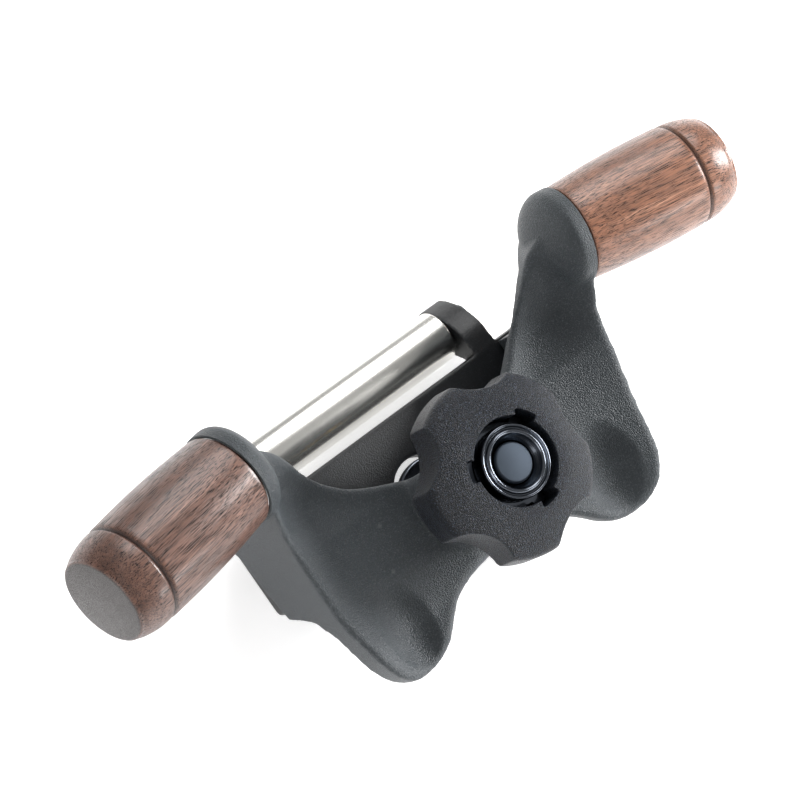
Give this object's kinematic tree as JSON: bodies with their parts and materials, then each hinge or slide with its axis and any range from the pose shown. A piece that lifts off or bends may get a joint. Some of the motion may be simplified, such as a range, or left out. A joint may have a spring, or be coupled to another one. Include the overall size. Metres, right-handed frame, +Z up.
{
  "type": "honing guide",
  "caption": "Two-handled blade honing guide: winged yoke with turned wooden grips, flat bed with a chrome roller, and a lobed clamp knob over a round pad.",
  "frame": {"origin": "centre of the bounding box at its base, which is the flat surface the guide stands on", "axes": "+X from the left grip to the right grip (as seen from the knob side, lobes towards the viewer), +Y from the thumb lobes to the roller, +Z up from the stone; the yoke leans back 15.6 degrees about X"},
  "size_m": [0.212, 0.0776, 0.0623],
  "materials": {
    "yoke": "fine spark-textured dark grey-green moulding",
    "bed_plate": "fine textured near-black moulding",
    "knob": "stippled near-black moulding with smooth flutes",
    "roller": "polished chrome",
    "bright_steel": "turned bright steel",
    "dark_steel": "black oxide steel with polished rims",
    "screw_cap": "blue-grey satin steel",
    "brass": "turned brass",
    "bronze": "sintered bronze",
    "walnut": "satin oiled walnut with open pores"
  },
  "bodies": {
    "yoke_body": {"yoke": "yoke", "bed_plate": "bed_plate", "threaded_bush": "brass", "roller_axle": "bright_steel", "bed_screw_1": "bright_steel", "bed_screw_2": "bright_steel", "bed_screw_3": "bright_steel", "bed_screw_4": "bright_steel", "axle_clip_left": "dark_steel", "handle_left": "walnut", "handle_washer_left": "bright_steel", "handle_stud_left": "bright_steel", "handle_insert_left": "brass", "axle_clip_right": "dark_steel", "handle_right": "walnut", "handle_washer_right": "bright_steel", "handle_stud_right": "bright_steel", "handle_insert_right": "brass"},
    "roller_body": {"roller": "roller", "roller_bush_left": "bronze", "roller_bush_right": "bronze"},
    "pad_body": {"pressure_pad": "dark_steel"},
    "knob_body": {"knob": "knob", "knob_insert": "dark_steel", "clamp_screw": "dark_steel", "screw_cap": "screw_cap", "pad_clip": "bright_steel"}
  },
  "joints": [
    {"name": "roller_spin", "type": "hinge", "parent": "yoke_body", "child": "roller_body", "pos_m": [0, 0.03099, 0.007], "axis": [1, 0, 0], "continuous": true},
    {"name": "pad_lift", "type": "slide", "parent": "yoke_body", "child": "pad_body", "axis": [0, -0.2693, 0.9631], "range_m": [0, 0.0088]},
    {"name": "knob_turn", "type": "hinge", "parent": "pad_body", "child": "knob_body", "pos_m": [0, -0.01119, 0.03643], "axis": [0, -0.2693, 0.9631], "range_deg": [0, 2520]}
  ],
  "couplings": [
    {"joint": "pad_lift", "follows": "knob_turn", "m_per_rad": 0.00019894}
  ]
}
